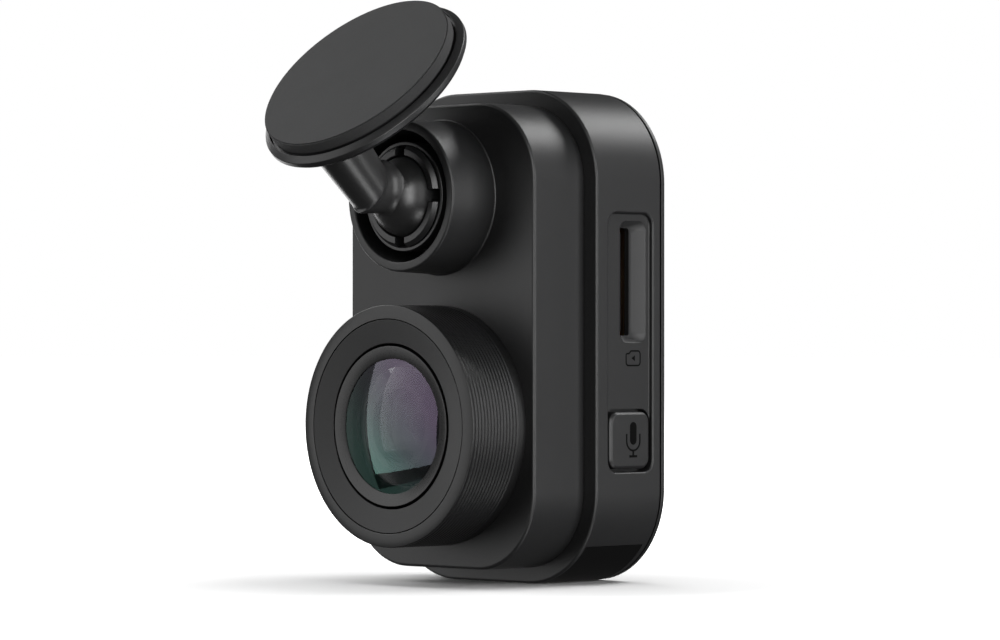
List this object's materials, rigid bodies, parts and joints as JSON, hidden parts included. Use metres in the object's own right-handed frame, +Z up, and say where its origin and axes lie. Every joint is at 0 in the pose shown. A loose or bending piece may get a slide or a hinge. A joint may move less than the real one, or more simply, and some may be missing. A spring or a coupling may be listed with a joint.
{
  "type": "dash camera",
  "caption": "Compact upright windscreen camera with a ribbed lens ring, a side card slot and push button, and an adhesive disc on a ball joint",
  "frame": {"origin": "centre of the flat underside the camera stands on, in the case's plane of symmetry", "axes": "+Z up along the case's height, the lens looks along -Y, +X is the side with the card slot and the button"},
  "size_m": [0.0314, 0.0386, 0.0618],
  "materials": {
    "case_plastic": "satin fine-grained near-black moulding",
    "bezel_plastic": "satin near-black, finely ribbed side",
    "hood_plastic": "matt black light trap",
    "lens_ring": "satin dark grey",
    "barrel_plastic": "matt black glass-filled plastic",
    "black_spacer": "matt black",
    "holder_plastic": "matt black",
    "lens_glass": "coated clear glass",
    "filter_glass": "tinted filter glass",
    "chip_black": "moulded chip package",
    "board_green": "solder mask",
    "connector_plastic": "ivory connector",
    "flex_film": "amber film",
    "collet_plastic": "satin dark grey acetal",
    "steel": "bright sheet steel",
    "spreader_metal": "copper-alloy plate",
    "arm_gloss": "glossy near-black",
    "disc_plastic": "satin near-black",
    "foam": "dark grey foam tape",
    "liner": "matt dark grey film",
    "label_film": "black printed film with no text",
    "card_plastic": "moulded card",
    "plunger_plastic": "white plunger",
    "pad_grey": "grey gap pad",
    "cell_foil": "foil pouch",
    "tape": "double-sided tape"
  },
  "bodies": {
    "camera_body": {"front_cover": "case_plastic", "main_housing": "case_plastic", "back_cover": "case_plastic", "bottom_label": "label_film", "lens_bezel": "bezel_plastic", "lens_hood": "hood_plastic", "lens_retainer": "lens_ring", "lens_barrel": "barrel_plastic", "front_lens": "lens_glass", "second_lens": "lens_glass", "third_lens": "lens_glass", "rear_lens": "lens_glass", "front_spacer": "black_spacer", "aperture_stop": "black_spacer", "rear_spacer": "black_spacer", "lens_holder": "holder_plastic", "ir_filter": "filter_glass", "image_sensor": "chip_black", "sensor_board": "board_green", "flex_connectors": "connector_plastic", "flex_cable": "flex_film", "socket_collet": "collet_plastic", "socket_retainer": "steel", "tact_switch": "chip_black", "card_socket": "steel", "usb_shell": "steel", "usb_tongue": "chip_black", "main_board": "board_green", "processor": "chip_black", "memory_chip": "chip_black", "power_chip": "chip_black", "shield_can": "steel", "thermal_pad": "pad_grey", "heat_spreader": "spreader_metal", "battery": "cell_foil", "battery_tape": "tape", "microphone": "steel", "case_screws": "steel"},
    "roll_ring": {"tension_ring": "steel"},
    "ball_body": {"ball": "arm_gloss"},
    "mount_head": {"mount_arm": "arm_gloss", "mount_disc": "disc_plastic", "adhesive_pad": "foam", "release_liner": "liner"},
    "record_button": {"mic_button": "case_plastic", "switch_plunger": "plunger_plastic"},
    "card": {"memory_card": "card_plastic"}
  },
  "joints": [
    {"name": "ball_roll", "type": "hinge", "parent": "camera_body", "child": "roll_ring", "pos_m": [0, -0.017, 0.04105], "axis": [0, 1, 0], "range_deg": [-90, 90]},
    {"name": "ball_yaw", "type": "hinge", "parent": "roll_ring", "child": "ball_body", "pos_m": [0, -0.017, 0.04105], "axis": [0, 0, 1], "range_deg": [-18, 18]},
    {"name": "ball_pitch", "type": "hinge", "parent": "ball_body", "child": "mount_head", "pos_m": [0, -0.017, 0.04105], "axis": [1, 0, 0], "range_deg": [-18, 18]},
    {"name": "mic_press", "type": "slide", "parent": "camera_body", "child": "record_button", "axis": [-1, 0, 0], "range_m": [0, 0.0004], "stiffness_N_per_m": 1500, "springref_m": -0.0006},
    {"name": "card_slide", "type": "slide", "parent": "camera_body", "child": "card", "axis": [1, 0, 0], "range_m": [-0.0005, 0.016]}
  ]
}
